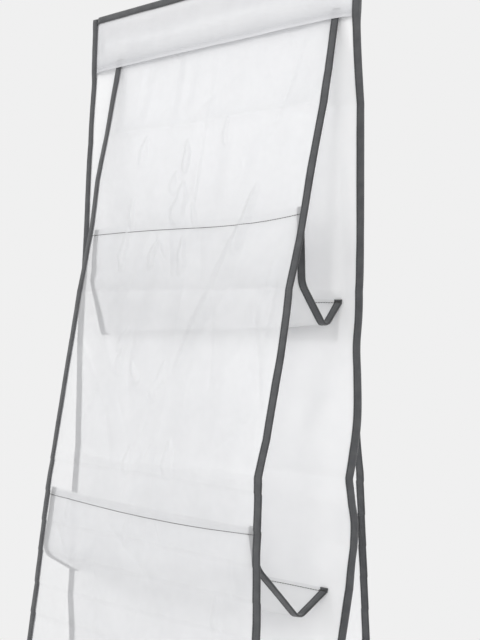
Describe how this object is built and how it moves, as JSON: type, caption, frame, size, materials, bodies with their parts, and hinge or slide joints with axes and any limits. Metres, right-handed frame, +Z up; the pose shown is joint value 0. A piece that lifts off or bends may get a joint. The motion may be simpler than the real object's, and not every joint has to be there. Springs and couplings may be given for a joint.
{
  "type": "hanging shoe organizer",
  "caption": "Double-sided hanging shoe organizer: a stiff-topped panel on a swivel hook, with a translucent sheet on each side and cloth slings between them for shoes.",
  "frame": {"origin": "the inner crown of the hook, where it rests on the rod", "axes": "+Z up, X along the header bar, front sheet on the -Y side"},
  "size_m": [0.47, 0.2812, 1.3285],
  "materials": {
    "panel": "matte non-woven",
    "film": "satin translucent film",
    "sling": "satin non-woven",
    "tape": "woven polyester",
    "steel": "satin chrome",
    "bar": "sanded"
  },
  "bodies": {
    "panel": {"centre_panel": "panel", "header_front_flap": "film", "header_rear_flap": "film", "header_bar": "bar", "hook_eyelet": "steel", "panel_left_binding": "tape", "panel_right_binding": "tape", "panel_top_binding": "tape", "panel_bottom_binding": "tape"},
    "hook": {"hanger_hook": "steel", "hook_washer": "steel"},
    "front_sheet_assembly": {"front_sheet": "film", "front_sheet_left_binding": "tape", "front_sheet_right_binding": "tape", "front_sheet_bottom_binding": "tape", "front_top_sling": "sling", "front_top_sling_left_binding": "tape", "front_top_sling_right_binding": "tape", "front_middle_sling": "sling", "front_middle_sling_left_binding": "tape", "front_middle_sling_right_binding": "tape", "front_bottom_sling": "sling", "front_bottom_sling_left_binding": "tape", "front_bottom_sling_right_binding": "tape"},
    "rear_sheet_assembly": {"rear_sheet": "film", "rear_sheet_left_binding": "tape", "rear_sheet_right_binding": "tape", "rear_sheet_bottom_binding": "tape", "rear_top_sling": "sling", "rear_top_sling_left_binding": "tape", "rear_top_sling_right_binding": "tape", "rear_middle_sling": "sling", "rear_middle_sling_left_binding": "tape", "rear_middle_sling_right_binding": "tape", "rear_bottom_sling": "sling", "rear_bottom_sling_left_binding": "tape", "rear_bottom_sling_right_binding": "tape"}
  },
  "joints": [
    {"name": "hook_swivel", "type": "hinge", "parent": "panel", "child": "hook", "pos_m": [0, 0, -0.075], "axis": [0, 0, 1], "continuous": true},
    {"name": "front_sheet_swing", "type": "hinge", "parent": "panel", "child": "front_sheet_assembly", "pos_m": [0, -0.003, -0.142], "axis": [-1, 0, 0], "range_deg": [-6, 2.5], "deforming": ["front_top_sling", "front_top_sling_left_binding", "front_top_sling_right_binding", "front_middle_sling", "front_middle_sling_left_binding", "front_middle_sling_right_binding", "front_bottom_sling", "front_bottom_sling_left_binding", "front_bottom_sling_right_binding"]},
    {"name": "rear_sheet_swing", "type": "hinge", "parent": "panel", "child": "rear_sheet_assembly", "pos_m": [0, 0.003, -0.142], "axis": [1, 0, 0], "range_deg": [-2, 2.5], "deforming": ["rear_top_sling", "rear_top_sling_left_binding", "rear_top_sling_right_binding", "rear_middle_sling", "rear_middle_sling_left_binding", "rear_middle_sling_right_binding", "rear_bottom_sling", "rear_bottom_sling_left_binding", "rear_bottom_sling_right_binding"]}
  ]
}
